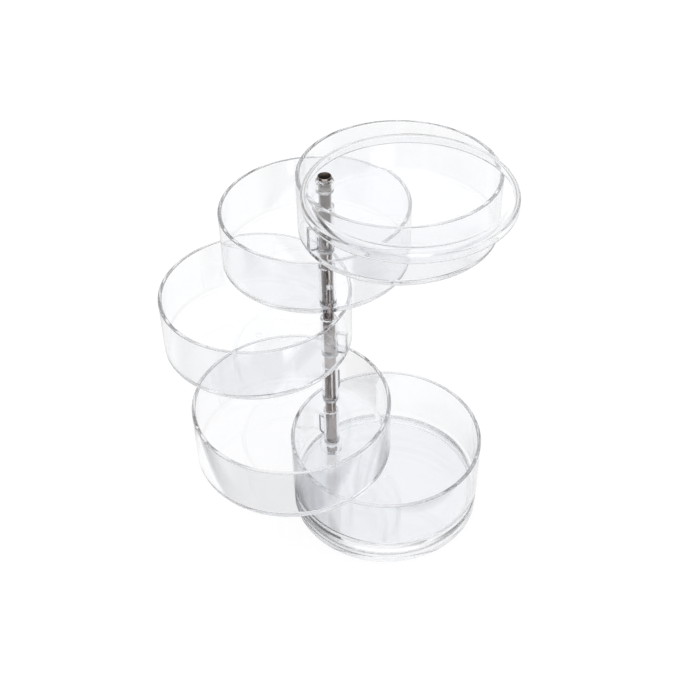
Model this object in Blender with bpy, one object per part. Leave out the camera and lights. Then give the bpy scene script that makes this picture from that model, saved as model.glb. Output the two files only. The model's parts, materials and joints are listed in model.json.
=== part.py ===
"""Rotating jewellery box, in the pieces that it comes apart into.

Clear round trays and a clear lid turn on one thin steel post that passes near their walls, so
they fan out like a spiral stair or swing together into one drum. The post stands in a hollow
base of two shells, held by a screw from below.

Metres, +Z up. The origin is the middle of the base's flat underside. Every moulding has its own
origin on the post's axis, with its round body's middle out along its own +X.
"""
import math

import bmesh
import bpy

# Trays: straight-walled dishes, each moulded in one piece with its hub
TRAY_DIAMETER = 0.1000
TRAY_HEIGHT = 0.0318
TRAY_WALL = 0.0020
TRAY_FLOOR = 0.0022
TRAY_FOOT_ROUND = 0.0025
TRAY_INNER_ROUND = 0.0015
TRAY_SPACING = 0.0014  # a tray's underside, above the rim of the tray below
TRAY_ANGLES = (-43.7, -118.8, 160.7, 98.6, 26.4)  # degrees, lowest tray first, post to middle

# Hubs: tubes that turn on the post, each tied to its tray's wall by a web
POST_INSET = 0.0102  # the post's axis, in from a tray's outer wall
HUB_WALL = 0.0010
HUB_FILLET = 0.0015
HUB_CHAMFER = 0.0003
HUB_DROP = 0.0083  # a hub's end, below its tray's rim
WEB_HEIGHT = 0.0150  # from the tray's underside
WEB_THICKNESS = 0.0028

# Lid: a shallow cap with a well-rounded upper edge
LID_OVERHANG = 0.0005  # the lid's side, out from a tray's outer wall
LID_HEIGHT = 0.0074
LID_WALL = 0.0022
LID_TOP = 0.0022
LID_EDGE_ROUND = 0.0040
LID_INNER_ROUND = 0.0018
LID_CLEARANCE = 0.0004  # the lid's lower edge, above the top tray's rim
LID_ANGLE = -11.0  # degrees

# Base: a dish below and a cover above, joined at a seam
BASE_SETBACK = 0.0005  # the base's side, in from a tray's outer wall
BASE_HEIGHT = 0.0100
COVER_HEIGHT = 0.0040  # the cover's outer side, from the seam up
BASE_WALL = 0.0020
BASE_FLOOR = 0.0024
BASE_TOP = 0.0020
BASE_EDGE_ROUND = 0.0025
BASE_FOOT_ROUND = 0.0008
LIP_DEPTH = 0.0015  # the cover's locating lip, below the seam
LIP_WALL = 0.0012
BOSS_WALL = 0.0022
BOSS_FLOOR = 0.0015

# Post: a tube with a flared upper end, a threaded insert in its lower end, and a screw
TUBE_DIAMETER = 0.0060
TUBE_WALL = 0.0005
FLARE_ROUND = 0.0012
FLARE_ANGLE = 60  # degrees
INSERT_LENGTH = 0.0080
SCREW_DIAMETER = 0.0025
SCREW_LENGTH = 0.0100
HEAD_DIAMETER = 0.0050
HEAD_SUNK = 0.0003  # the head's face, above the base's underside
DRIVE_WIDTH = 0.0007
DRIVE_LENGTH = 0.0026
DRIVE_DEPTH = 0.0008

# Clips: steel rings pushed on the post, one under each tray and one under the lid's hub
CLIP_THICKNESS = 0.0013
CLIP_WIDTH = 0.0010

# Edges and clearances
RIM_ROUND = 0.0005  # a tray's rim and the lid's lower edge, inside and out
TURN_GAP = 0.0003  # round the post, in everything threaded on it
REST_GAP = 0.0003  # between faces that rest on each other
OVERRUN = 0.0010  # how far a cut starts outside what it cuts
SINK = 0.0001  # how far a joined shape starts inside what it joins
MERGE_DISTANCE = 0.00001

# Facets
BODY_SIDES = 64
SMALL_SIDES = 24
ROUND_STEPS = 3
EDGE_STEPS = 1
CREASE_ANGLE = 30  # degrees

# Finishes: colour, roughness, metallic, transmission
CLEAR_PLASTIC = ("clear_plastic", (0.94, 0.95, 0.97), 0.04, 0.0, 0.9)
POLISHED_STEEL = ("polished_steel", (0.56, 0.54, 0.53), 0.08, 1.0, 0.0)
PLAIN_STEEL = ("plain_steel", (0.50, 0.50, 0.51), 0.30, 1.0, 0.0)

tray_radius = TRAY_DIAMETER / 2
post_offset = tray_radius - POST_INSET
lid_radius = tray_radius + LID_OVERHANG
base_radius = tray_radius - BASE_SETBACK
base_seam = BASE_HEIGHT - COVER_HEIGHT
tube_radius = TUBE_DIAMETER / 2
tube_bore = tube_radius - TUBE_WALL
post_hole = tube_radius + TURN_GAP
hub_radius = post_hole + HUB_WALL
hub_height = TRAY_HEIGHT - HUB_DROP
clip_radius = post_hole + CLIP_WIDTH
screw_radius = SCREW_DIAMETER / 2
screw_hole = screw_radius + REST_GAP
head_radius = HEAD_DIAMETER / 2
head_depth = head_radius - screw_radius

# Heights of the stack, from the table up
first_bottom = BASE_HEIGHT + CLIP_THICKNESS + 2 * REST_GAP
tray_step = TRAY_HEIGHT + TRAY_SPACING
tray_bottoms = [first_bottom + level * tray_step for level in range(len(TRAY_ANGLES))]
top_rim = tray_bottoms[-1] + TRAY_HEIGHT
lid_hub_bottom = tray_bottoms[-1] + tray_step
lid_bottom = top_rim + LID_CLEARANCE
lid_top = lid_bottom + LID_HEIGHT
boss_bottom = BASE_FLOOR + REST_GAP
socket_floor = boss_bottom + BOSS_FLOOR
tube_bottom = socket_floor + REST_GAP


def arc(middle, radius, start, end, steps):
    """Points of a round stretch of an outline, from one angle in degrees to another."""
    angles = [math.radians(start + (end - start) * step / steps) for step in range(steps + 1)]
    return [(middle[0] + radius * math.cos(a), middle[1] + radius * math.sin(a)) for a in angles]


def finish_material(finish):
    """The material of one finish, made once and shared."""
    name, colour, roughness, metallic, transmission = finish
    if name in bpy.data.materials:
        return bpy.data.materials[name]
    material = bpy.data.materials.new(name)
    material.use_nodes = True
    shader = material.node_tree.nodes["Principled BSDF"]
    shader.inputs["Base Color"].default_value = (*colour, 1)
    shader.inputs["Roughness"].default_value = roughness
    shader.inputs["Metallic"].default_value = metallic
    shader.inputs["Transmission Weight"].default_value = transmission
    return material


def add_object(name, mesh):
    """Puts a mesh in the scene as an object of its own."""
    thing = bpy.data.objects.new(name, mesh)
    bpy.context.scene.collection.objects.link(thing)
    return thing


def turned(name, outline, sides):
    """A solid turned about Z from an outline of (radius, height) points.

    An outline that starts and ends on the axis makes a solid body. Any other makes a ring.
    """
    shape = bmesh.new()
    points = [shape.verts.new((radius, 0, height)) for radius, height in outline]
    edges = [shape.edges.new(pair) for pair in zip(points, points[1:])]
    if outline[0][0] > 0:
        edges.append(shape.edges.new((points[-1], points[0])))
    bmesh.ops.spin(shape, geom=points + edges, axis=(0, 0, 1), cent=(0, 0, 0),
                   angle=math.tau, steps=sides, use_merge=True)
    bmesh.ops.remove_doubles(shape, verts=shape.verts, dist=MERGE_DISTANCE)
    bmesh.ops.recalc_face_normals(shape, faces=shape.faces)
    mesh = bpy.data.meshes.new(name)
    shape.to_mesh(mesh)
    shape.free()
    return add_object(name, mesh)


def block(name, start, end, width, bottom, top):
    """A block from one place along X to another, with its middle over the X axis."""
    shape = bmesh.new()
    bmesh.ops.create_cube(shape, size=1)
    bmesh.ops.scale(shape, vec=(end - start, width, top - bottom), verts=shape.verts)
    bmesh.ops.translate(shape, vec=((start + end) / 2, 0, (top + bottom) / 2), verts=shape.verts)
    mesh = bpy.data.meshes.new(name)
    shape.to_mesh(mesh)
    shape.free()
    return add_object(name, mesh)


def combine(body, operation, tools):
    """Joins tools to a body with UNION, or cuts them out of it with DIFFERENCE, and drops them."""
    for tool in tools:
        step = body.modifiers.new(tool.name, "BOOLEAN")
        step.operation = operation
        step.object = tool
    bpy.context.view_layer.update()
    seen = body.evaluated_get(bpy.context.evaluated_depsgraph_get())
    plain = body.data
    body.data = bpy.data.meshes.new_from_object(seen)
    body.modifiers.clear()
    bpy.data.meshes.remove(plain)
    for tool in tools:
        bpy.data.objects.remove(tool)
    return body


def beside_post(body):
    """Moves a round body's middle out along +X, so that its origin is on the post's axis."""
    shape = bmesh.new()
    shape.from_mesh(body.data)
    bmesh.ops.translate(shape, vec=(post_offset, 0, 0), verts=shape.verts)
    shape.to_mesh(body.data)
    shape.free()
    return body


def post_cut(bottom, top, radius):
    """A cutter for a round hole on the post's axis."""
    return turned("hole", [(0, bottom), (radius, bottom), (radius, top), (0, top)], SMALL_SIDES)


def hub(root, end):
    """A solid hub from the face it grows out of to its free end, up or down."""
    up = math.copysign(1, end - root)
    foot_radius = hub_radius + HUB_FILLET
    length = abs(end - root)
    outline = [
        (0, -OVERRUN),
        (foot_radius, -OVERRUN),
        *arc((foot_radius, HUB_FILLET - SINK), HUB_FILLET, -90, -180, ROUND_STEPS),
        (hub_radius, length - HUB_CHAMFER),
        (hub_radius - HUB_CHAMFER, length),
        (0, length),
    ]
    return turned("hub", [(radius, root + up * height) for radius, height in outline], SMALL_SIDES)


def tray_mesh():
    """One tray: bowl, hub, web and the bore that turns on the post."""
    inner_radius = tray_radius - TRAY_WALL
    web_end = -(POST_INSET - TRAY_WALL / 2)
    bowl = turned("tray", [
        (0, 0),
        *arc((tray_radius - TRAY_FOOT_ROUND, TRAY_FOOT_ROUND), TRAY_FOOT_ROUND, -90, 0, ROUND_STEPS),
        *arc((tray_radius - RIM_ROUND, TRAY_HEIGHT - RIM_ROUND), RIM_ROUND, 0, 90, EDGE_STEPS),
        *arc((inner_radius + RIM_ROUND, TRAY_HEIGHT - RIM_ROUND), RIM_ROUND, 90, 180, EDGE_STEPS),
        *arc((inner_radius - TRAY_INNER_ROUND, TRAY_FLOOR + TRAY_INNER_ROUND), TRAY_INNER_ROUND,
             0, -90, ROUND_STEPS),
        (0, TRAY_FLOOR),
    ], BODY_SIDES)
    beside_post(bowl)
    combine(bowl, "UNION", [hub(TRAY_FLOOR, hub_height)])
    web = block("web", web_end, 0, WEB_THICKNESS, TRAY_FLOOR / 2, WEB_HEIGHT)
    combine(bowl, "UNION", [web])
    combine(bowl, "DIFFERENCE", [post_cut(-OVERRUN, TRAY_HEIGHT, post_hole)])
    mesh = bowl.data
    bpy.data.objects.remove(bowl)
    return mesh


def make_lid():
    """The lid: a cap that is open below, with a hub under its top plate."""
    inner_radius = lid_radius - LID_WALL
    plate = LID_HEIGHT - LID_TOP
    cap = turned("lid", [
        (0, LID_HEIGHT),
        *arc((lid_radius - LID_EDGE_ROUND, LID_HEIGHT - LID_EDGE_ROUND), LID_EDGE_ROUND,
             90, 0, ROUND_STEPS + 1),
        *arc((lid_radius - RIM_ROUND, RIM_ROUND), RIM_ROUND, 0, -90, EDGE_STEPS),
        *arc((inner_radius + RIM_ROUND, RIM_ROUND), RIM_ROUND, -90, -180, EDGE_STEPS),
        *arc((inner_radius - LID_INNER_ROUND, plate - LID_INNER_ROUND), LID_INNER_ROUND,
             0, 90, ROUND_STEPS),
        (0, plate),
    ], BODY_SIDES)
    beside_post(cap)
    combine(cap, "UNION", [hub(plate, lid_hub_bottom - lid_bottom)])
    combine(cap, "DIFFERENCE", [post_cut(-OVERRUN, LID_HEIGHT + OVERRUN, post_hole)])
    return cap


def make_base_cover():
    """The base's upper shell: plate, skirt, locating lip and the boss that holds the post."""
    plate = BASE_HEIGHT - BASE_TOP
    skirt_bottom = base_seam + REST_GAP
    lip_radius = base_radius - BASE_WALL - REST_GAP
    lip_inner = lip_radius - LIP_WALL
    lip_bottom = base_seam - LIP_DEPTH
    cover = turned("base_cover", [
        (0, BASE_HEIGHT),
        *arc((base_radius - BASE_EDGE_ROUND, BASE_HEIGHT - BASE_EDGE_ROUND), BASE_EDGE_ROUND,
             90, 0, ROUND_STEPS),
        (base_radius, skirt_bottom),
        (lip_radius, skirt_bottom),
        (lip_radius, lip_bottom),
        (lip_inner, lip_bottom),
        (lip_inner, plate),
        (0, plate),
    ], BODY_SIDES)
    beside_post(cover)
    boss_radius = post_hole + BOSS_WALL
    boss_top = plate + BASE_TOP / 2
    boss = turned("boss", [(0, boss_bottom), (boss_radius, boss_bottom), (boss_radius, boss_top),
                           (0, boss_top)], SMALL_SIDES)
    combine(cover, "UNION", [boss])
    socket = post_cut(socket_floor, BASE_HEIGHT + OVERRUN, post_hole)
    screw_way = post_cut(boss_bottom - OVERRUN, socket_floor + SINK, screw_hole)
    combine(cover, "DIFFERENCE", [socket, screw_way])
    return cover


def make_base_dish():
    """The base's lower shell, with the countersunk hole of the screw."""
    inner_radius = base_radius - BASE_WALL
    dish = turned("base_dish", [
        (0, 0),
        *arc((base_radius - BASE_FOOT_ROUND, BASE_FOOT_ROUND), BASE_FOOT_ROUND, -90, 0, ROUND_STEPS),
        (base_radius, base_seam),
        (inner_radius, base_seam),
        (inner_radius, BASE_FLOOR),
        (0, BASE_FLOOR),
    ], BODY_SIDES)
    beside_post(dish)
    mouth_radius = head_radius + REST_GAP
    countersink = turned("countersink", [
        (0, -OVERRUN),
        (mouth_radius, -OVERRUN),
        (mouth_radius, HEAD_SUNK),
        (screw_hole, HEAD_SUNK + head_depth),
        (screw_hole, BASE_FLOOR + OVERRUN),
        (0, BASE_FLOOR + OVERRUN),
    ], SMALL_SIDES)
    combine(dish, "DIFFERENCE", [countersink])
    return dish


def make_screw():
    """The countersunk screw, with a cross for the driver in its head."""
    screw = turned("base_screw", [
        (0, HEAD_SUNK),
        (head_radius, HEAD_SUNK),
        (screw_radius, HEAD_SUNK + head_depth),
        (screw_radius, HEAD_SUNK + SCREW_LENGTH),
        (0, HEAD_SUNK + SCREW_LENGTH),
    ], SMALL_SIDES)
    slot_top = HEAD_SUNK + DRIVE_DEPTH
    slot_bottom = HEAD_SUNK - OVERRUN
    long_half, wide_half = DRIVE_LENGTH / 2, DRIVE_WIDTH / 2
    along = block("slot_along", -long_half, long_half, DRIVE_WIDTH, slot_bottom, slot_top)
    across = block("slot_across", -wide_half, wide_half, DRIVE_LENGTH, slot_bottom, slot_top)
    combine(screw, "DIFFERENCE", [along])
    combine(screw, "DIFFERENCE", [across])
    return screw


def make_tube():
    """The post: a tube whose upper end is flared out over the lid."""
    middle = (tube_radius + FLARE_ROUND, lid_top)
    flare_end = 180 - FLARE_ANGLE
    return turned("post_tube", [
        (tube_bore, tube_bottom),
        (tube_radius, tube_bottom),
        *arc(middle, FLARE_ROUND, 180, flare_end, ROUND_STEPS),
        *arc(middle, FLARE_ROUND + TUBE_WALL, flare_end, 180, ROUND_STEPS),
    ], SMALL_SIDES)


def ring(name, inner, outer, bottom, top):
    """A plain ring about Z."""
    return turned(name, [(inner, bottom), (outer, bottom), (outer, top), (inner, top)], SMALL_SIDES)


def make_clips():
    """One ring under each tray and one under the lid's hub."""
    clips = []
    for number, carried in enumerate([*tray_bottoms, lid_hub_bottom], start=1):
        top = carried - REST_GAP
        clips.append(ring(f"clip_{number}", post_hole, clip_radius, top - CLIP_THICKNESS, top))
    return clips


def place(thing, finish, axis, height=0, angle=0):
    """Hangs a piece on the post's axis at its height and angle, and gives it its finish."""
    thing.parent = axis
    thing.location = (0, 0, height)
    thing.rotation_euler = (0, 0, math.radians(angle))
    thing.data.materials.clear()
    thing.data.materials.append(finish_material(finish))
    thing.data.shade_smooth()
    thing.data.set_sharp_from_angle(angle=math.radians(CREASE_ANGLE))


def build():
    """Makes every piece and puts it in its place."""
    for thing in list(bpy.data.objects):
        bpy.data.objects.remove(thing)

    base_angle = TRAY_ANGLES[0]
    axis = add_object("post_axis", None)
    axis.location = (-post_offset * math.cos(math.radians(base_angle)),
                     -post_offset * math.sin(math.radians(base_angle)), 0)

    place(make_base_dish(), CLEAR_PLASTIC, axis, angle=base_angle)
    place(make_base_cover(), CLEAR_PLASTIC, axis, angle=base_angle)
    place(make_screw(), PLAIN_STEEL, axis)
    place(make_tube(), POLISHED_STEEL, axis)
    insert_top = tube_bottom + INSERT_LENGTH
    insert = ring("post_insert", screw_hole, tube_bore - REST_GAP, tube_bottom, insert_top)
    place(insert, PLAIN_STEEL, axis)

    shared = tray_mesh()
    for number, angle in enumerate(TRAY_ANGLES, start=1):
        tray = add_object(f"tray_{number}", shared)
        place(tray, CLEAR_PLASTIC, axis, tray_bottoms[number - 1], angle)
    place(make_lid(), CLEAR_PLASTIC, axis, lid_bottom, LID_ANGLE)
    for clip in make_clips():
        place(clip, PLAIN_STEEL, axis)


build()
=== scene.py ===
"""Rotating jewellery box: the finished form and look of every piece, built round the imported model.

Metres, +Z up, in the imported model's own frame.
"""
import json
import math

import bmesh
import bpy
from mathutils import Matrix, Vector


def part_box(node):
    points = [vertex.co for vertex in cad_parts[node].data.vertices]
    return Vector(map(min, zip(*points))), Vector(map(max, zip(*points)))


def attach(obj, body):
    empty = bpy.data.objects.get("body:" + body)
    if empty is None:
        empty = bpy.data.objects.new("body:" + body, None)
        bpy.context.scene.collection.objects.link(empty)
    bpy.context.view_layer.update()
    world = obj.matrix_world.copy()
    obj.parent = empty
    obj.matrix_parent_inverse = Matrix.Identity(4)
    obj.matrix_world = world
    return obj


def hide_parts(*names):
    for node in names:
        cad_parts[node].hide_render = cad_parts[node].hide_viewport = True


bl_info = {
    "name": "Rotating jewellery box",
    "version": (1, 0, 0),
    "blender": (4, 5, 0),
    "location": "3D View > Sidebar > Jewellery box",
    "description": "Builds the clear trays, lid, base and post of a swivelling jewellery box",
    "category": "Object",
}

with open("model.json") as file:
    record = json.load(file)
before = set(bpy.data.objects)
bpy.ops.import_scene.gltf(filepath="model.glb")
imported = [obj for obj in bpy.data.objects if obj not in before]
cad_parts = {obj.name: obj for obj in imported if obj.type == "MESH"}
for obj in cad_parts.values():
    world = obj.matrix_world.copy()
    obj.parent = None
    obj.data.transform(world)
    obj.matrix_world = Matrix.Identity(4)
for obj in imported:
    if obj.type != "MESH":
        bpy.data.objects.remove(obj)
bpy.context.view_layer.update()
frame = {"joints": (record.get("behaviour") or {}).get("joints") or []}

TRAYS = ("tray_1", "tray_2", "tray_3", "tray_4", "tray_5")
CLIPS = ("clip_1", "clip_2", "clip_3", "clip_4", "clip_5", "clip_6")
POST = Vector((*frame["joints"][0]["pos_m"][:2], 0))

# how many flat sides stand for a circle: walls, hubs and post, small steel pieces, moulding mark
WALL_SIDES = 160
HUB_SIDES = 64
STEEL_SIDES = 48
MARK_SIDES = 32
SMOOTH = math.radians(30)  # faces that meet at less than this are shaded as one
NEAR = 1e-5  # metres within which a point counts as lying at a stated place
POLYSTYRENE_IOR = 1.56

SHEET_RADIUS = 3.0
SHEET_GAP = 0.0002
SHEET_GLOW = 0.91  # the sheet as it is seen straight on or through the plastic
SHEET_LIGHT = 0.95  # the plain sheet as it is mirrored
# painted reflections: rings of light and dark painted on the sheet round the post, seen only by mirrored light:
# where the painted light starts and ends to change, and the light beyond, where none stands for the painted
# strip before the box
PAINTED_REFLECTION_RINGS = (
    (0.032, 0.036, None),
    (0.076, 0.080, 1.05),
    (0.118, 0.120, 0.03),
    (0.134, 0.138, None),
    (0.225, 0.235, 0.2),
    (0.278, 0.282, 0.45),
    (0.305, 0.320, SHEET_LIGHT),
)
BOUNCES = 128  # light that runs inside the thin walls meets them a hundred times before it leaves
SENSOR_WIDTH = 36


def low(node):
    """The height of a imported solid's lowest point."""
    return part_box(node)[0].z


def high(node):
    """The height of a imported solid's highest point."""
    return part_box(node)[1].z


def middle(node):
    """The middle of a packed round body, seen from above."""
    bottom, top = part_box(node)
    return Vector(((bottom.x + top.x) / 2, (bottom.y + top.y) / 2, 0))


def heading(node):
    """The angle in which a body's middle lies from the post."""
    way = middle(node) - POST
    return math.atan2(way.y, way.x)


def length(name, default, text):
    """A length that the user may change, kept in metres."""
    return bpy.props.FloatProperty(
        name=name, description=text, default=default, min=0, precision=5, subtype="DISTANCE", unit="LENGTH"
    )


def linear(colour):
    """Linear red, green and blue of an sRGB hex value."""
    parts = [int(colour[at:at + 2], 16) / 255 for at in (1, 3, 5)]
    return tuple(p / 12.92 if p <= 0.04045 else ((p + 0.055) / 1.055) ** 2.4 for p in parts)


def colour(name, default, text):
    """A colour that the user may change."""
    return bpy.props.FloatVectorProperty(
        name=name, description=text, default=linear(default), min=0, max=1, size=3, subtype="COLOR"
    )


class TraySizes(bpy.types.PropertyGroup):
    """Sizes of a tray, its hub and its web."""

    diameter: length("Diameter", 0.0998, "Across a tray's outer wall")
    wall: length("Wall", 0.0020, "Thickness of the wall")
    floor: length("Floor", 0.0022, "Thickness of the floor")
    foot_round: length("Foot round", 0.0025, "Round of the lower outer edge")
    inner_round: length("Inner round", 0.0015, "Round where the floor meets the wall")
    rim_round: length("Rim round", 0.0005, "Round of the rim, inside and out")
    hub_diameter: length("Hub diameter", 0.0086, "Across the hub")
    hub_drop: length("Hub drop", 0.0083, "The hub's end below the rim")
    hub_fillet: length("Hub fillet", 0.0003, "Round where the hub meets the floor")
    web_height: length("Web height", 0.0150, "The web's top above the tray's underside")
    web_thickness: length("Web thickness", 0.0028, "Thickness of the web between hub and wall")
    gate: length("Gate mark", 0.0036, "Across the moulding mark under the floor")


class LidSizes(bpy.types.PropertyGroup):
    """Sizes of the lid."""

    diameter: length("Diameter", 0.1009, "Across the lid's side")
    wall: length("Wall", 0.0022, "Thickness of the side")
    top: length("Top", 0.0022, "Thickness of the top plate")
    edge_round: length("Edge round", 0.0040, "Round of the upper outer edge")
    inner_round: length("Inner round", 0.0018, "Round inside, under the top plate")
    hub_end: length("Hub end", 0.0010, "The hub's end above the lid's lower edge")


class BaseSizes(bpy.types.PropertyGroup):
    """Sizes of the base's two shells."""

    diameter: length("Diameter", 0.0990, "Across the base's side")
    seam: length("Seam", 0.0060, "Height of the seam")
    seam_gap: length("Seam gap", 0.0003, "Gap between the two shells")
    wall: length("Wall", 0.0020, "Thickness of the side")
    floor: length("Floor", 0.0024, "Thickness of the dish's floor")
    top: length("Top", 0.0020, "Thickness of the cover's plate")
    edge_round: length("Edge round", 0.0025, "Round of the cover's upper edge")
    foot_round: length("Foot round", 0.0008, "Round of the dish's lower edge")
    lip_depth: length("Lip depth", 0.0015, "The cover's lip below the seam")
    lip_wall: length("Lip wall", 0.0012, "Thickness of the lip")
    boss_diameter: length("Boss diameter", 0.0110, "Across the boss that holds the post")
    boss_floor: length("Boss floor", 0.0015, "Thickness of the boss's floor")


class PostSizes(bpy.types.PropertyGroup):
    """Sizes of the post and of the steel pieces on and in it."""

    diameter: length("Diameter", 0.0060, "Across the post")
    wall: length("Wall", 0.0005, "Thickness of the tube")
    lip_diameter: length("Lip diameter", 0.0074, "Across the flared upper end")
    flare: length("Flare", 0.0015, "Height of the flared end")
    bore: length("Bore", 0.0066, "Across the hole in all that is threaded on the post")
    clip_diameter: length("Clip diameter", 0.0086, "Across a clip")
    screw_diameter: length("Screw diameter", 0.0025, "Across the screw's thread")
    screw_hole: length("Screw hole", 0.0031, "Across the screw's clear hole")
    head_diameter: length("Head diameter", 0.0050, "Across the screw's head")
    drive: length("Drive", 0.0026, "Across the cross in the screw's head")
    thread_pitch: length("Thread pitch", 0.0006, "From one turn of the screw's thread to the next")


class Finishes(bpy.types.PropertyGroup):
    """Colours of the finishes."""

    plastic: colour("Plastic", "#fdfdfe", "Clear polystyrene")
    plastic_flow: colour("Plastic flow", "#fafbfc", "Its faint cloudy flow marks")
    plastic_depth: colour("Plastic depth", "#bcbdc2", "What light keeps of its colour far inside it")
    tube: colour("Tube", "#b1a8a4", "Mirror-polished tube")
    tube_lines: colour("Tube lines", "#a49b97", "Draw lines along the tube")
    zinc: colour("Zinc", "#e6e7e9", "Zinc-plated steel")
    zinc_grain: colour("Zinc grain", "#cfd0d3", "The darker crystals of the zinc")
    bore: colour("Bore", "#a09388", "The tube's dull inside, as drawn")
    bore_scale: colour("Bore scale", "#272727", "The dark scale inside the tube")
    seam: colour("Seam", "#f4f5f6", "The glued faces of the base's seam")
    sheet: colour("Sheet", "#696969", "The studio sheet, whose glow adds the rest of its white")


class Stage(bpy.types.PropertyGroup):
    """The camera and the studio."""

    place: bpy.props.FloatVectorProperty(
        name="Camera place", description="Where the camera stands", default=(-0.02307, -0.3995, 0.4504),
        size=3, precision=5, subtype="TRANSLATION", unit="LENGTH"
    )
    pitch: bpy.props.FloatProperty(
        name="Pitch", description="How far down the camera looks", default=math.radians(40.456),
        subtype="ANGLE", unit="ROTATION"
    )
    roll: bpy.props.FloatProperty(
        name="Roll", description="How far the camera leans", default=math.radians(-1.1154),
        subtype="ANGLE", unit="ROTATION"
    )
    lens: bpy.props.FloatProperty(
        name="Lens", description="Focal length on a 36 mm sensor, in millimetres", default=57.15
    )


def sizes(context, group):
    """One group of the scene's own values."""
    return getattr(context.scene, group)


def deselected():
    """Leaves edit mode and deselects everything."""
    if bpy.context.object and bpy.context.object.mode != "OBJECT":
        bpy.ops.object.mode_set(mode="OBJECT")
    bpy.ops.object.select_all(action="DESELECT")


def chosen(thing):
    """Selects one object alone and makes it the active one."""
    deselected()
    thing.select_set(True)
    bpy.context.view_layer.objects.active = thing


def applied(thing, kind, **settings):
    """Adds a modifier with its settings and applies it."""
    chosen(thing)
    bpy.ops.object.modifier_add(type=kind)
    modifier = thing.modifiers[-1]
    for name, value in settings.items():
        setattr(modifier, name, value)
    bpy.ops.object.modifier_apply(modifier=modifier.name)


def turned(name, outline, sides, centre):
    """A round solid: a disc that is extruded and resized along an outline of (radius, height)."""
    deselected()
    (radius, height), *rest = outline
    bpy.ops.mesh.primitive_circle_add(
        vertices=sides, radius=radius, fill_type="NGON", location=(centre.x, centre.y, height)
    )
    thing = bpy.context.object
    thing.name = name
    chosen(thing)
    bpy.ops.object.transform_apply(location=True, rotation=True, scale=True)
    bpy.ops.object.mode_set(mode="EDIT")
    bpy.ops.mesh.select_all(action="SELECT")
    for next_radius, next_height in rest:
        share = next_radius / radius
        bpy.ops.mesh.extrude_region_move(TRANSFORM_OT_translate={"value": (0, 0, next_height - height)})
        bpy.ops.transform.resize(value=(share, share, 1), center_override=(centre.x, centre.y, next_height))
        radius, height = next_radius, next_height
    bpy.ops.mesh.select_all(action="SELECT")
    bpy.ops.mesh.normals_make_consistent(inside=False)
    bpy.ops.object.mode_set(mode="OBJECT")
    return thing


def rounded(thing, centre, *rings):
    """Bevels ring edges of a round solid, each given as (radius, height, round, steps)."""
    chosen(thing)
    bpy.ops.object.mode_set(mode="EDIT")
    bpy.ops.mesh.select_mode(type="EDGE")
    for radius, height, size, steps in rings:
        bpy.ops.mesh.select_all(action="DESELECT")
        shape = bmesh.from_edit_mesh(thing.data)
        for edge in shape.edges:
            edge.select_set(all(
                abs(v.co.z - height) < NEAR
                and abs(math.hypot(v.co.x - centre.x, v.co.y - centre.y) - radius) < NEAR
                for v in edge.verts
            ))
        bmesh.update_edit_mesh(thing.data)
        bpy.ops.mesh.bevel(offset=size, segments=steps, profile=0.5, affect="EDGES", clamp_overlap=False)
    bpy.ops.mesh.select_mode(type="VERT")
    bpy.ops.object.mode_set(mode="OBJECT")


def combined(thing, tool, operation):
    """Joins a tool to a solid or cuts it out, and drops the tool."""
    applied(thing, "BOOLEAN", operation=operation, solver="EXACT", object=tool)
    bpy.data.objects.remove(tool)


def smoothed(thing, angle=SMOOTH):
    """Smooth shading up to an angle, with flat faces kept flat by their size."""
    chosen(thing)
    bpy.ops.object.shade_smooth_by_angle(angle=angle)
    applied(thing, "WEIGHTED_NORMAL", keep_sharp=True)


def swung(thing, name, angle, lift):
    """A copy with its own mesh, swung round the post and lifted."""
    chosen(thing)
    bpy.ops.object.duplicate(linked=False)
    copy = bpy.context.object
    copy.name = name
    turn = Matrix.Rotation(angle, 3, "Z")
    copy.rotation_euler = (0, 0, angle)
    copy.location = POST - turn @ POST + Vector((0, 0, lift))
    bpy.ops.object.transform_apply(location=True, rotation=True, scale=True)
    return copy


def fitted(thing, body, node, material):
    """Gives a piece its material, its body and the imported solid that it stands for."""
    thing.data.materials.clear()
    thing.data.materials.append(material)
    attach(thing, body)
    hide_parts(node)


def add_node(tree, kind, inputs=None, **settings):
    """Adds a node with its settings, and fills its inputs with values or with links."""
    node = tree.nodes.new(kind)
    for name, value in settings.items():
        setattr(node, name, value)
    for name, value in (inputs or {}).items():
        if isinstance(value, bpy.types.NodeSocket):
            tree.links.new(value, node.inputs[name])
        else:
            node.inputs[name].default_value = value
    return node


def new_material(name):
    """An empty material with its output node."""
    material = bpy.data.materials.new(name)
    material.use_nodes = True
    material.node_tree.nodes.clear()
    return material, material.node_tree, add_node(material.node_tree, "ShaderNodeOutputMaterial")


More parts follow.
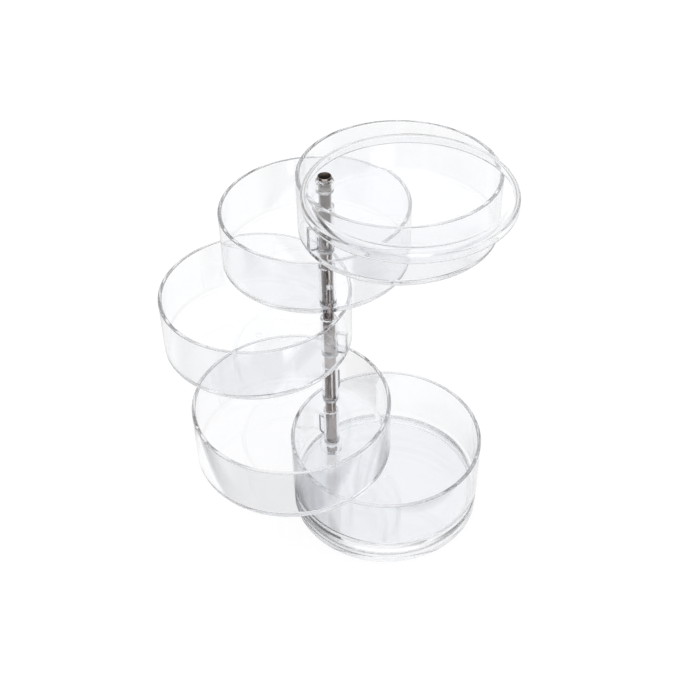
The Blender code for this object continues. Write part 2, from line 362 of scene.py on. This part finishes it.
def clear_plastic():
    """Injection-moulded general-purpose polystyrene, polished tool: water-clear, hard bright edges."""
    if "moulded clear polystyrene" in bpy.data.materials:
        return bpy.data.materials["moulded clear polystyrene"]
    finishes = sizes(bpy.context, "box_finishes")
    material, tree, output = new_material("moulded clear polystyrene")
    place = add_node(tree, "ShaderNodeTexCoord").outputs["Object"]
    # the melt cools in soft clouds about 25 mm across
    flow = add_node(tree, "ShaderNodeTexNoise", {"Vector": place, "Scale": 40, "Detail": 2, "Roughness": 0.45})
    tint = add_node(
        tree, "ShaderNodeMix",
        {"Factor": flow.outputs["Fac"], "A": (*finishes.plastic, 1), "B": (*finishes.plastic_flow, 1)},
        data_type="RGBA",
    )
    # hairlines from wiping, drawn 0.4 mm apart so that they show
    wiped = add_node(
        tree, "ShaderNodeMapping", {"Vector": place, "Rotation": (0, 0, 0.6), "Scale": (2500, 90, 400)}
    )
    hair = add_node(tree, "ShaderNodeTexNoise", {"Vector": wiped.outputs["Vector"], "Scale": 1, "Detail": 1})
    worn = add_node(
        tree, "ShaderNodeMapRange",
        {"Value": hair.outputs["Fac"], "From Min": 0.62, "From Max": 0.8, "To Min": 0.0, "To Max": 0.12},
    )
    wave = add_node(
        tree, "ShaderNodeBump",
        {"Height": flow.outputs["Fac"], "Strength": 0.35, "Distance": 0.00006},
    )
    shader = add_node(tree, "ShaderNodeBsdfPrincipled", {
        "Base Color": tint.outputs["Result"],
        "Roughness": worn.outputs["Result"],
        "IOR": POLYSTYRENE_IOR,
        "Transmission Weight": 1,
        "Normal": wave.outputs["Normal"],
    })
    tree.links.new(shader.outputs["BSDF"], output.inputs["Surface"])
    darkened(tree, output, finishes)
    return material


def darkened(tree, output, finishes):
    """Polystyrene's faint grey: a plate looks clear, and light that runs 100 mm along a wall loses a seventh."""
    depth = add_node(
        tree, "ShaderNodeVolumeAbsorption", {"Color": (*finishes.plastic_depth, 1), "Density": 3}
    )
    tree.links.new(depth.outputs["Volume"], output.inputs["Volume"])


def joint_face():
    """The glued faces of the base's seam: fine ground polystyrene, a grey line from the side."""
    if "glued joint face" in bpy.data.materials:
        return bpy.data.materials["glued joint face"]
    finishes = sizes(bpy.context, "box_finishes")
    material, tree, output = new_material("glued joint face")
    place = add_node(tree, "ShaderNodeTexCoord").outputs["Object"]
    # the glue lies in patches about 2 mm across
    glue = add_node(tree, "ShaderNodeTexNoise", {"Vector": place, "Scale": 500, "Detail": 2})
    ground = add_node(
        tree, "ShaderNodeMapRange",
        {"Value": glue.outputs["Fac"], "From Min": 0.3, "From Max": 0.7, "To Min": 0.15, "To Max": 0.4},
    )
    shader = add_node(tree, "ShaderNodeBsdfPrincipled", {
        "Base Color": (*finishes.seam, 1),
        "Roughness": ground.outputs["Result"],
        "IOR": POLYSTYRENE_IOR,
        "Transmission Weight": 1,
    })
    tree.links.new(shader.outputs["BSDF"], output.inputs["Surface"])
    darkened(tree, output, finishes)
    return material


def polished_tube():
    """Stainless steel tube, drawn and then mirror polished: dark and bright bands along its length."""
    finishes = sizes(bpy.context, "box_finishes")
    material, tree, output = new_material("mirror-polished stainless steel tube")
    place = add_node(tree, "ShaderNodeTexCoord").outputs["Object"]
    # draw lines run along the tube, 0.3 mm apart
    along = add_node(tree, "ShaderNodeMapping", {"Vector": place, "Scale": (3300, 3300, 60)})
    lines = add_node(tree, "ShaderNodeTexNoise", {"Vector": along.outputs["Vector"], "Scale": 1, "Detail": 2})
    tint = add_node(
        tree, "ShaderNodeMix",
        {"Factor": lines.outputs["Fac"], "A": (*finishes.tube, 1), "B": (*finishes.tube_lines, 1)},
        data_type="RGBA",
    )
    polish = add_node(
        tree, "ShaderNodeMapRange",
        {"Value": lines.outputs["Fac"], "From Min": 0.3, "From Max": 0.8, "To Min": 0.01, "To Max": 0.05},
    )
    grooves = add_node(
        tree, "ShaderNodeBump", {"Height": lines.outputs["Fac"], "Strength": 0.1, "Distance": 0.00002}
    )
    shader = add_node(tree, "ShaderNodeBsdfPrincipled", {
        "Base Color": tint.outputs["Result"],
        "Metallic": 1,
        "Roughness": polish.outputs["Result"],
        "Normal": grooves.outputs["Normal"],
    })
    tree.links.new(shader.outputs["BSDF"], output.inputs["Surface"])
    return material


def drawn_bore():
    """The tube's inside: left as it was drawn, dull and dark, with scale in patches."""
    finishes = sizes(bpy.context, "box_finishes")
    material, tree, output = new_material("dull drawn steel bore")
    place = add_node(tree, "ShaderNodeTexCoord").outputs["Object"]
    # patches of scale about 1 mm across
    scale = add_node(tree, "ShaderNodeTexNoise", {"Vector": place, "Scale": 1000, "Detail": 3})
    tint = add_node(
        tree, "ShaderNodeMix",
        {"Factor": scale.outputs["Fac"], "A": (*finishes.bore, 1), "B": (*finishes.bore_scale, 1)},
        data_type="RGBA",
    )
    shader = add_node(tree, "ShaderNodeBsdfPrincipled", {
        "Base Color": tint.outputs["Result"],
        "Metallic": 1,
        "Roughness": 0.6,
    })
    tree.links.new(shader.outputs["BSDF"], output.inputs["Surface"])
    return material


def plated_steel():
    """Zinc-plated turned steel: pale, slightly blue, with faint turning rings."""
    if "zinc-plated turned steel" in bpy.data.materials:
        return bpy.data.materials["zinc-plated turned steel"]
    finishes = sizes(bpy.context, "box_finishes")
    material, tree, output = new_material("zinc-plated turned steel")
    place = add_node(tree, "ShaderNodeTexCoord").outputs["Object"]
    # crystals of the plating, about 0.5 mm across
    grain = add_node(tree, "ShaderNodeTexNoise", {"Vector": place, "Scale": 2000, "Detail": 3})
    # turning marks, a ring each 0.3 mm of height
    rings = add_node(
        tree, "ShaderNodeTexWave", {"Vector": place, "Scale": 1050, "Distortion": 0.4},
        wave_type="BANDS", bands_direction="Z",
    )
    tint = add_node(
        tree, "ShaderNodeMix",
        {"Factor": grain.outputs["Fac"], "A": (*finishes.zinc, 1), "B": (*finishes.zinc_grain, 1)},
        data_type="RGBA",
    )
    dull = add_node(
        tree, "ShaderNodeMapRange",
        {"Value": grain.outputs["Fac"], "From Min": 0.3, "From Max": 0.7, "To Min": 0.2, "To Max": 0.38},
    )
    marks = add_node(
        tree, "ShaderNodeBump", {"Height": rings.outputs["Fac"], "Strength": 0.25, "Distance": 0.00002}
    )
    shader = add_node(tree, "ShaderNodeBsdfPrincipled", {
        "Base Color": tint.outputs["Result"],
        "Metallic": 1,
        "Roughness": dull.outputs["Result"],
        "Normal": marks.outputs["Normal"],
    })
    tree.links.new(shader.outputs["BSDF"], output.inputs["Surface"])
    return material


def hub_tool(tray, root, end):
    """A solid hub with a round foot, from the face that it grows out of to its free end."""
    up = math.copysign(1, end - root)
    radius = tray.hub_diameter / 2
    # the foot starts halfway into the floor and ends a hair under its face, where the round begins
    sunk = root - up * tray.floor / 2
    seat = root - up * tray.foot_round / 50
    foot = radius + tray.hub_fillet * 1.1
    tool = turned("hub", [(foot, sunk), (foot, seat), (radius, seat), (radius, end)], HUB_SIDES, POST)
    rounded(
        tool, POST,
        (radius, seat, tray.hub_fillet, 6),
        (radius, end, tray.rim_round / 2, 2),
    )
    return tool


def bore_tool(bottom, top):
    """A cutter for the hole that turns on the post."""
    radius = sizes(bpy.context, "box_post").bore / 2
    return turned("bore", [(radius, bottom), (radius, top)], HUB_SIDES, POST)


class BOX_OT_trays(bpy.types.Operator):
    """Models one tray with its hub and web, and swings copies of it into their places"""

    bl_idname = "jewellery_box.trays"
    bl_label = "Trays"

    def execute(self, context):
        tray = sizes(context, "box_tray")
        first = TRAYS[0]
        centre, bottom, rim = middle(first), low(first), high(first)
        radius, inner = tray.diameter / 2, tray.diameter / 2 - tray.wall
        floor = bottom + tray.floor
        outline = [(radius, bottom), (radius, rim), (inner, rim), (inner, floor)]
        bowl = turned("clear_" + first, outline, WALL_SIDES, centre)
        rounded(
            bowl, centre,
            (radius, bottom, tray.foot_round, 8),
            (inner, floor, tray.inner_round, 6),
            (radius, rim, tray.rim_round, 3),
            (inner, rim, tray.rim_round, 3),
        )
        combined(bowl, hub_tool(tray, floor, rim - tray.hub_drop), "UNION")
        combined(bowl, self.web(tray, first, centre, floor), "UNION")
        combined(bowl, bore_tool(bottom - tray.floor, rim), "DIFFERENCE")
        combined(bowl, self.gate(tray, centre, bottom), "DIFFERENCE")
        for tray_name in TRAYS[1:]:
            copy = swung(
                bowl, "clear_" + tray_name, heading(tray_name) - heading(first), low(tray_name) - bottom
            )
            smoothed(copy)
            fitted(copy, tray_name, tray_name, clear_plastic())
        smoothed(bowl)
        fitted(bowl, first, first, clear_plastic())
        return {"FINISHED"}

    def web(self, tray, node, centre, floor):
        """The web from the hub out to the wall nearest to it."""
        deselected()
        outward = (POST - centre).normalized()
        reach = tray.diameter / 2 - (POST - centre).length - tray.wall / 2
        bottom, top = floor - tray.floor / 2, low(node) + tray.web_height
        place = POST + outward * reach / 2
        bpy.ops.mesh.primitive_cube_add(
            size=1, location=(place.x, place.y, (bottom + top) / 2),
            rotation=(0, 0, math.atan2(outward.y, outward.x)),
            scale=(reach, tray.web_thickness, top - bottom),
        )
        thing = bpy.context.object
        bpy.ops.object.transform_apply(location=True, rotation=True, scale=True)
        bpy.ops.object.mode_set(mode="EDIT")
        bpy.ops.mesh.select_mode(type="EDGE")
        bpy.ops.mesh.select_all(action="DESELECT")
        shape = bmesh.from_edit_mesh(thing.data)
        for edge in shape.edges:
            edge.select_set(all(abs(v.co.z - top) < NEAR for v in edge.verts))
        bmesh.update_edit_mesh(thing.data)
        bpy.ops.mesh.bevel(offset=tray.rim_round, segments=3, profile=0.5, affect="EDGES")
        bpy.ops.mesh.select_mode(type="VERT")
        bpy.ops.object.mode_set(mode="OBJECT")
        return thing

    def gate(self, tray, centre, bottom):
        """The shallow round recess under the floor where the mould was filled."""
        radius, depth = tray.gate / 2, tray.floor / 6
        return turned("gate", [(radius, bottom - depth), (radius, bottom + depth)], MARK_SIDES, centre)


class BOX_OT_lid(bpy.types.Operator):
    """Models the lid, a shallow cap with a well-rounded upper edge and a hub inside"""

    bl_idname = "jewellery_box.lid"
    bl_label = "Lid"

    def execute(self, context):
        lid, tray = sizes(context, "box_lid"), sizes(context, "box_tray")
        centre, bottom, top = middle("lid"), low("lid"), high("lid")
        radius, inner, plate = lid.diameter / 2, lid.diameter / 2 - lid.wall, top - lid.top
        outline = [(radius, top), (radius, bottom), (inner, bottom), (inner, plate)]
        cap = turned("clear_lid", outline, WALL_SIDES, centre)
        rounded(
            cap, centre,
            (radius, top, lid.edge_round, 12),
            (inner, plate, lid.inner_round, 8),
            (radius, bottom, tray.rim_round, 3),
            (inner, bottom, tray.rim_round, 3),
        )
        combined(cap, hub_tool(tray, plate, bottom + lid.hub_end), "UNION")
        combined(cap, bore_tool(bottom - lid.top, top + lid.top), "DIFFERENCE")
        smoothed(cap)
        fitted(cap, "lid", "lid", clear_plastic())
        return {"FINISHED"}


class BOX_OT_base(bpy.types.Operator):
    """Models the base's dish and the cover that closes it"""

    bl_idname = "jewellery_box.base"
    bl_label = "Base"

    def execute(self, context):
        base, post = sizes(context, "box_base"), sizes(context, "box_post")
        centre, bottom, top = middle("base_dish"), low("base_dish"), high("base_cover")
        radius, inner = base.diameter / 2, base.diameter / 2 - base.wall
        self.dish(base, post, centre, bottom, radius, inner)
        self.cover(base, post, centre, top, radius, inner)
        return {"FINISHED"}

    def dish(self, base, post, centre, bottom, radius, inner):
        """The lower shell, with the countersunk hole of the screw."""
        outline = [(radius, bottom), (radius, base.seam), (inner, base.seam), (inner, base.floor)]
        dish = turned("clear_base_dish", outline, WALL_SIDES, centre)
        rounded(
            dish, centre,
            (radius, bottom, base.foot_round, 4),
            (inner, base.floor, base.foot_round, 4),
            (radius, base.seam, base.seam_gap / 2, 2),
        )
        hole, head = post.screw_hole / 2, post.head_diameter / 2 + base.seam_gap
        sunk = low("base_screw")
        neck = sunk + (post.head_diameter - post.screw_diameter) / 2
        mouth = turned(
            "countersink",
            [(head, bottom - base.floor), (head, sunk), (hole, neck), (hole, base.floor * 2)],
            STEEL_SIDES, POST,
        )
        combined(dish, mouth, "DIFFERENCE")
        smoothed(dish)
        fitted(dish, "stand", "base_dish", clear_plastic())
        self.glued(dish, base.seam)

    def cover(self, base, post, centre, top, radius, inner):
        """The upper shell, with its locating lip and the boss that holds the post."""
        plate, skirt = top - base.top, base.seam + base.seam_gap
        lip = inner - base.seam_gap
        lip_inner, lip_bottom = lip - base.lip_wall, base.seam - base.lip_depth
        cover = turned("clear_base_cover", [
            (radius, top), (radius, skirt), (lip, skirt), (lip, lip_bottom),
            (lip_inner, lip_bottom), (lip_inner, plate),
        ], WALL_SIDES, centre)
        rounded(
            cover, centre,
            (radius, top, base.edge_round, 10),
            (radius, skirt, base.seam_gap / 2, 2),
            (lip_inner, plate, base.foot_round, 4),
        )
        boss = base.boss_diameter / 2
        boss_bottom = low("base_cover")
        socket = boss_bottom + base.boss_floor
        pillar = turned("boss", [(boss, plate + base.top / 2), (boss, boss_bottom)], HUB_SIDES, POST)
        combined(cover, pillar, "UNION")
        combined(cover, bore_tool(socket, top + base.top), "DIFFERENCE")
        hole = post.screw_hole / 2
        screw_way = turned("screw_way", [(hole, 0), (hole, socket * 1.1)], STEEL_SIDES, POST)
        combined(cover, screw_way, "DIFFERENCE")
        smoothed(cover)
        fitted(cover, "stand", "base_cover", clear_plastic())
        self.glued(cover, skirt)

    def glued(self, shell, height):
        """Gives the faces that lie in the seam the look of a glued joint."""
        shell.data.materials.append(joint_face())
        for face in shell.data.polygons:
            level, in_seam = abs(face.normal.z) > 0.7, abs(face.center.z - height) < NEAR
            if level and in_seam:
                face.material_index = 1


class BOX_OT_post(bpy.types.Operator):
    """Models the post's tube with its flared end, and the steel pieces on and in it"""

    bl_idname = "jewellery_box.post"
    bl_label = "Post"

    def execute(self, context):
        post = sizes(context, "box_post")
        self.tube(post)
        self.insert(post)
        self.screw(post)
        self.clips(post)
        return {"FINISHED"}

    def tube(self, post):
        """The tube, flared over the lid at its upper end and rolled back in to a thin edge."""
        bottom, top = low("post_tube"), high("post_tube")
        radius, bore, lip = post.diameter / 2, post.diameter / 2 - post.wall, post.lip_diameter / 2
        neck, shoulder, edge = top - post.flare, top - post.flare * 0.7, lip - post.wall * 0.9
        outline = [(radius, bottom), (radius, neck), (lip, shoulder), (edge, top)]
        tube = turned("steel_post_tube", outline, HUB_SIDES, POST)
        rounded(tube, POST, (lip, shoulder, post.flare * 0.15, 4))
        hole = turned("tube_bore", [
            (bore, bottom - post.wall), (bore, neck), (edge - post.wall * 0.3, top), (lip, top + post.wall)
        ], HUB_SIDES, POST)
        rounded(hole, POST, (bore, neck, post.flare * 0.4, 6))
        combined(tube, hole, "DIFFERENCE")
        smoothed(tube, math.radians(40))
        fitted(tube, "stand", "post_tube", polished_tube())
        tube.data.materials.append(drawn_bore())
        for face in tube.data.polygons:
            inward = face.normal.x * (POST.x - face.center.x) + face.normal.y * (POST.y - face.center.y)
            if inward > bore / 2 * abs(face.normal.z) and inward > 0:
                face.material_index = 1

    def insert(self, post):
        """The insert in the tube's lower end, with grooves round it."""
        start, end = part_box("post_insert")
        bottom, top, radius = start.z, end.z, (end.x - start.x) / 2
        waist, hole = radius - post.wall / 4, post.screw_hole / 2
        grooves = 4
        bands = 2 * grooves + 1
        band = (top - bottom) / bands
        outline = [(radius, bottom)]
        for number in range(1, bands):
            height = bottom + number * band
            under, above = (radius, waist) if number % 2 else (waist, radius)
            outline += [(under, height - band / 8), (above, height + band / 8)]
        outline.append((radius, top))
        insert = turned("steel_post_insert", outline, STEEL_SIDES, POST)
        bore = turned("insert_bore", [(hole, bottom - band), (hole, top + band)], STEEL_SIDES, POST)
        combined(insert, bore, "DIFFERENCE")
        smoothed(insert)
        fitted(insert, "stand", "post_insert", plated_steel())

    def screw(self, post):
        """The countersunk screw, with its cross and its thread."""
        bottom, top = low("base_screw"), high("base_screw")
        head, outer = post.head_diameter / 2, post.screw_diameter / 2
        core, pitch = outer * 0.84, post.thread_pitch
        neck = bottom + head - outer
        screw = turned("steel_base_screw", [
            (head, bottom), (outer, neck), (outer, neck + pitch), (core, neck + pitch * 1.4),
            (core, top - pitch), (core * 0.7, top),
        ], STEEL_SIDES, POST)
        for angle in (0.0, math.pi / 2):
            deselected()
            bpy.ops.mesh.primitive_cube_add(
                size=1, location=(POST.x, POST.y, bottom), rotation=(0, 0, angle),
                scale=(post.drive, post.drive * 0.27, post.drive * 0.62),
            )
            slot = bpy.context.object
            bpy.ops.object.transform_apply(location=True, rotation=True, scale=True)
            combined(screw, slot, "DIFFERENCE")
        thread = self.thread(core, outer, pitch, neck + pitch * 1.5, top - pitch * 1.2)
        chosen(screw)
        thread.select_set(True)
        bpy.ops.object.join()
        smoothed(screw)
        fitted(screw, "stand", "base_screw", plated_steel())

    def thread(self, core, outer, pitch, bottom, top):
        """The thread: a small wedge swept up round the core."""
        deselected()
        bpy.ops.mesh.primitive_circle_add(
            vertices=3, radius=1, fill_type="NGON", rotation=(math.pi / 2, 0, 0)
        )
        thread = bpy.context.object
        bpy.ops.object.transform_apply(location=True, rotation=True, scale=True)
        # the wedge's foot lies a little inside the core, and its point at the thread's outer edge
        foot, rise = core * 0.94, pitch * 0.42
        wedge = ((foot, -rise), (outer, 0), (foot, rise))
        for vertex, (across, height) in zip(thread.data.vertices, wedge):
            vertex.co = (across, 0, height)
        turns = int((top - bottom) / pitch)
        steps = turns * STEEL_SIDES // 2
        applied(
            thread, "SCREW", angle=math.tau * turns, screw_offset=pitch * turns, iterations=1,
            steps=steps, render_steps=steps, use_merge_vertices=False, use_normal_calculate=True,
        )
        thread.location = (POST.x, POST.y, bottom)
        chosen(thread)
        bpy.ops.object.transform_apply(location=True, rotation=True, scale=True)
        return thread

    def clips(self, post):
        """The rings that carry the trays and the lid: one is made, and the others are its copies."""
        first = CLIPS[0]
        bottom, top = low(first), high(first)
        radius, hole = post.clip_diameter / 2, post.bore / 2
        clip = turned("steel_" + first, [(radius, bottom), (radius, top)], STEEL_SIDES, POST)
        height = top - bottom
        rounded(clip, POST, (radius, bottom, height * 0.2, 3), (radius, top, height * 0.55, 8))
        bore = turned("clip_bore", [(hole, 0), (hole, top * 2)], STEEL_SIDES, POST)
        combined(clip, bore, "DIFFERENCE")
        smoothed(clip)
        for node in CLIPS[1:]:
            copy = swung(clip, "steel_" + node, 0, low(node) - bottom)
            fitted(copy, "stand", node, plated_steel())
        fitted(clip, "stand", first, plated_steel())


class BOX_OT_stage(bpy.types.Operator):
    """Sets the pale floor, the soft studio light and the camera"""

    bl_idname = "jewellery_box.stage"
    bl_label = "Stage"

    def execute(self, context):
        stage = sizes(context, "box_stage")
        self.floor(context)
        self.light(context)
        self.camera(context, stage)
        return {"FINISHED"}

    def floor(self, context):
        """A round white sheet, a hair under the box, with reflections painted into its glow for mirrored light.
        """
        deselected()
        bpy.ops.mesh.primitive_circle_add(
            vertices=96, radius=SHEET_RADIUS, fill_type="NGON", location=(0, 0, -SHEET_GAP)
        )
        floor = context.object
        floor.name = "studio_floor"
        bpy.ops.object.transform_apply(location=True, rotation=True, scale=True)
        material, tree, output = new_material("white studio sheet with painted reflections")
        path = add_node(tree, "ShaderNodeLightPath")
        # straight through the plastic the sheet is white, and keeps a faint shadow
        finishes = sizes(context, "box_finishes")
        matt = add_node(tree, "ShaderNodeBsdfDiffuse", {"Color": (*finishes.sheet, 1)})
        glow = add_node(tree, "ShaderNodeEmission", {"Strength": SHEET_GLOW})
        white = add_node(tree, "ShaderNodeAddShader", {0: matt.outputs[0], 1: glow.outputs[0]})
        # painted reflection: where the steel mirrors it once, the sheet is painted dark before the box, with a
        # painted light strip and painted light rings, and white behind
        place = add_node(tree, "ShaderNodeNewGeometry")
        off = add_node(
            tree, "ShaderNodeVectorMath", {0: place.outputs["Position"], 1: tuple(POST)}, operation="SUBTRACT"
        )
        far = add_node(tree, "ShaderNodeVectorMath", {0: off.outputs[0]}, operation="LENGTH").outputs["Value"]
        way = add_node(tree, "ShaderNodeVectorMath", {0: off.outputs[0]}, operation="NORMALIZE").outputs[0]
        strip = self.share(tree, way, (0.53, -0.848, 0), 0.955, 0.985, 0.04, 1.9)
        sides = self.share(tree, way, (0.26, -0.966, 0), 0.25, 0.65, 0.5, 0)
        strip = add_node(tree, "ShaderNodeMath", {0: strip, 1: sides}, operation="MAXIMUM").outputs[0]
        ring = SHEET_LIGHT
        for start, end, beyond in PAINTED_REFLECTION_RINGS:
            ring = self.step(tree, far, start, end, ring, strip if beyond is None else beyond)
        behind = self.share(tree, way, (0, 1, 0), -0.1, 0.3, 0, 1)
        once = add_node(
            tree, "ShaderNodeMix", {"Factor": behind, "A": ring, "B": SHEET_LIGHT}, data_type="FLOAT"
        ).outputs["Result"]
        # painted reflection for light that runs inside the plastic and was mirrored more often: the sheet is
        # painted dim to the right of the box and before it
        more = self.share(tree, place.outputs["Position"], (0.8, -0.6, 0), 0.026, 0.046, SHEET_LIGHT, 0.15)
        painted_reflection_strength = add_node(
            tree, "ShaderNodeMix", {"Factor": self.reflected(tree, path, 1.5), "A": once, "B": more},
            data_type="FLOAT",
        )
        # the painted reflections' glow, which only mirrored light sees
        mirrored = add_node(tree, "ShaderNodeEmission", {"Strength": painted_reflection_strength.outputs["Result"]})
        top = add_node(
            tree, "ShaderNodeMixShader",
            {0: self.reflected(tree, path), 1: white.outputs[0], 2: mirrored.outputs[0]},
        )
        # from below the sheet is clear
        clear = add_node(tree, "ShaderNodeBsdfTransparent")
        sheet = add_node(
            tree, "ShaderNodeMixShader",
            {0: place.outputs["Backfacing"], 1: top.outputs[0], 2: clear.outputs[0]},
        )
        tree.links.new(sheet.outputs[0], output.inputs["Surface"])
        floor.data.materials.append(material)

    def reflected(self, tree, path, times=0.5):
        """1 for light that was mirrored more often than a number of times, 0 for the rest."""
        return add_node(
            tree, "ShaderNodeMath", {0: path.outputs["Glossy Depth"], 1: times}, operation="GREATER_THAN"
        ).outputs[0]

    def step(self, tree, far, start, end, inside, outside):
        """One value inside a distance and another outside it."""
        share = add_node(
            tree, "ShaderNodeMapRange",
            {"Value": far, "From Min": start, "From Max": end, "To Min": 0, "To Max": 1},
        ).outputs[0]
        return add_node(
            tree, "ShaderNodeMix", {"Factor": share, "A": inside, "B": outside}, data_type="FLOAT"
        ).outputs["Result"]

    def share(self, tree, way, axis, start, end, low, high):
        """A value that goes from low to high as a direction turns towards an axis."""
        along = add_node(tree, "ShaderNodeVectorMath", {0: way, 1: axis}, operation="DOT_PRODUCT")
        return add_node(tree, "ShaderNodeMapRange", {
            "Value": along.outputs["Value"], "From Min": start, "From Max": end, "To Min": low, "To Max": high,
        }, interpolation_type="SMOOTHSTEP").outputs[0]

    def light(self, context):
        """A white surround for the camera, and a soft studio for the rest."""
        scene = context.scene
        world = bpy.data.worlds.new("soft studio")
        world.use_nodes = True
        scene.world = world
        tree = world.node_tree
        tree.nodes.clear()
        output = add_node(tree, "ShaderNodeOutputWorld")
        path = add_node(tree, "ShaderNodeLightPath")
        way = add_node(tree, "ShaderNodeTexCoord").outputs["Generated"]
        # a soft roof, a bright wall behind the box, a window before it and dark walls at its sides
        roof = self.share(tree, way, (0, 0, 1), 0.0, 0.9, 0.48, 1.0)
        upper = self.share(tree, way, (0, 0, 1), 0.1, 0.5, 0.5, 1.15)
        behind = self.share(tree, way, (0, 1, 0), 0.2, 0.6, 0.0, 1.0)
        window = self.share(tree, way, (0, -0.92, 0.39), 0.45, 0.8, 0.0, 1.2)
        right = self.share(tree, way, (0.99, -0.1, 0), 0.6, 0.85, 1.0, 0.25)
        left = self.share(tree, way, (-0.99, -0.1, 0), 0.5, 0.85, 1.0, 0.2)
        wall = add_node(tree, "ShaderNodeMath", {0: behind, 1: upper}, operation="MULTIPLY")
        wall = add_node(tree, "ShaderNodeMath", {0: wall.outputs[0], 1: window}, operation="ADD")
        light = add_node(tree, "ShaderNodeMath", {0: wall.outputs[0], 1: roof}, operation="MAXIMUM")
        light = add_node(tree, "ShaderNodeMath", {0: light.outputs[0], 1: right}, operation="MULTIPLY")
        light = add_node(tree, "ShaderNodeMath", {0: light.outputs[0], 1: left}, operation="MULTIPLY")
        studio = add_node(
            tree, "ShaderNodeBackground", {"Color": (1, 1, 1, 1), "Strength": light.outputs[0]}
        )
        white = add_node(tree, "ShaderNodeBackground", {"Color": (1, 1, 1, 1), "Strength": 1.0})
        mixed = add_node(
            tree, "ShaderNodeMixShader",
            {0: self.reflected(tree, path), 1: white.outputs[0], 2: studio.outputs[0]},
        )
        tree.links.new(mixed.outputs[0], output.inputs["Surface"])
        scene.view_settings.view_transform = "Standard"
        scene.cycles.max_bounces = BOUNCES
        scene.cycles.transmission_bounces = BOUNCES
        scene.cycles.glossy_bounces = BOUNCES

    def camera(self, context, stage):
        """The camera, where the photograph was taken from."""
        ahead = Vector((0, math.cos(stage.pitch), -math.sin(stage.pitch)))
        up = Vector((0, math.sin(stage.pitch), math.cos(stage.pitch)))
        side = Vector((1, 0, 0))
        lean, rise = math.cos(stage.roll), math.sin(stage.roll)
        across, upward = lean * side + rise * up, -rise * side + lean * up
        data = bpy.data.cameras.new("camera")
        data.lens, data.sensor_width = stage.lens, SENSOR_WIDTH
        camera = bpy.data.objects.new("camera", data)
        context.scene.collection.objects.link(camera)
        camera.location = stage.place
        camera.rotation_euler = Matrix((across, upward, -ahead)).transposed().to_euler()
        context.scene.camera = camera


class BOX_PT_sidebar(bpy.types.Panel):
    """Lists the sizes and colours, and the operators that build each piece"""

    bl_idname = "BOX_PT_sidebar"
    bl_label = "Jewellery box"
    bl_space_type = "VIEW_3D"
    bl_region_type = "UI"
    bl_category = "Jewellery box"

    def draw(self, context):
        for group, kind in GROUPS.items():
            box = self.layout.box()
            box.label(text=kind.__name__)
            for name in kind.__annotations__:
                box.prop(sizes(context, group), name)
        for step in STEPS:
            self.layout.operator(step.bl_idname)


GROUPS = {
    "box_tray": TraySizes,
    "box_lid": LidSizes,
    "box_base": BaseSizes,
    "box_post": PostSizes,
    "box_finishes": Finishes,
    "box_stage": Stage,
}
STEPS = (BOX_OT_base, BOX_OT_post, BOX_OT_trays, BOX_OT_lid, BOX_OT_stage)
CLASSES = (*GROUPS.values(), *STEPS, BOX_PT_sidebar)


def register():
    for each in CLASSES:
        bpy.utils.register_class(each)
    for group, kind in GROUPS.items():
        setattr(bpy.types.Scene, group, bpy.props.PointerProperty(type=kind))


def unregister():
    for group in GROUPS:
        delattr(bpy.types.Scene, group)
    for each in reversed(CLASSES):
        bpy.utils.unregister_class(each)


def main():
    register()
    bpy.ops.jewellery_box.base()
    bpy.ops.jewellery_box.post()
    bpy.ops.jewellery_box.trays()
    bpy.ops.jewellery_box.lid()
    bpy.ops.jewellery_box.stage()


if __name__ == "__main__":
    main()
